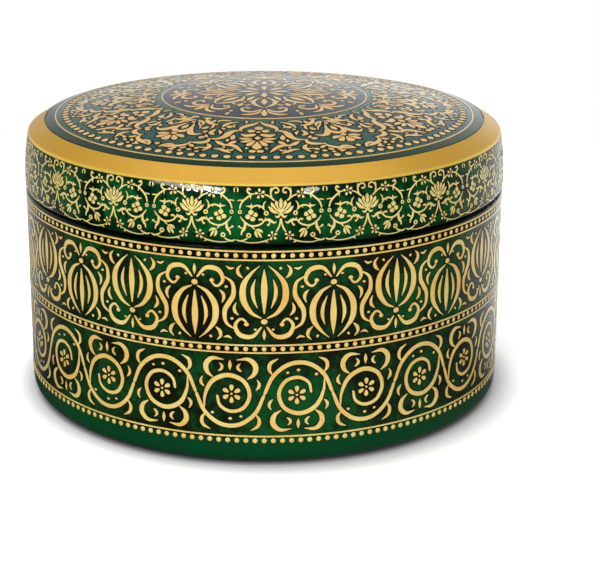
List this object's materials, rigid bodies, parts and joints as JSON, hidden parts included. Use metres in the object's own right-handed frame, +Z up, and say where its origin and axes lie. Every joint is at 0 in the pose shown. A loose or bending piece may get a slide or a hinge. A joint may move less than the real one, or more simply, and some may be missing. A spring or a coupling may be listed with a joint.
{
  "type": "round covered glass box",
  "caption": "Squat round box of deep green glass with a lift-off domed lid, a gilt bevelled edge, gilt ruled lines and bead borders, for sweets or keepsakes on a table.",
  "frame": {"origin": "centre of the foot ring, on the table", "axes": "+Z up the box's axis of turning; the view of the picture looks along +Y"},
  "size_m": [0.1814, 0.1814, 0.1127],
  "materials": {
    "green_glass": "polished, deep mottled green, nearly opaque",
    "gilt": "satin fired gold",
    "dark_enamel": "glossy fired enamel"
  },
  "bodies": {
    "box": {"box_body": "green_glass", "upper_line_top": "gilt", "upper_line_bottom": "gilt", "upper_bead_ground": "dark_enamel", "middle_line_top": "gilt", "middle_line_bottom": "gilt", "middle_bead_ground": "dark_enamel", "foot_line": "gilt"},
    "cover": {"lid": "green_glass", "gilt_edge_band": "gilt", "dome_line": "gilt", "medallion_ring": "gilt", "medallion_ground": "dark_enamel"}
  },
  "joints": [
    {"name": "lid_lift", "type": "slide", "parent": "box", "child": "cover", "axis": [0, 0, 1], "range_m": [0, 0.12]}
  ]
}
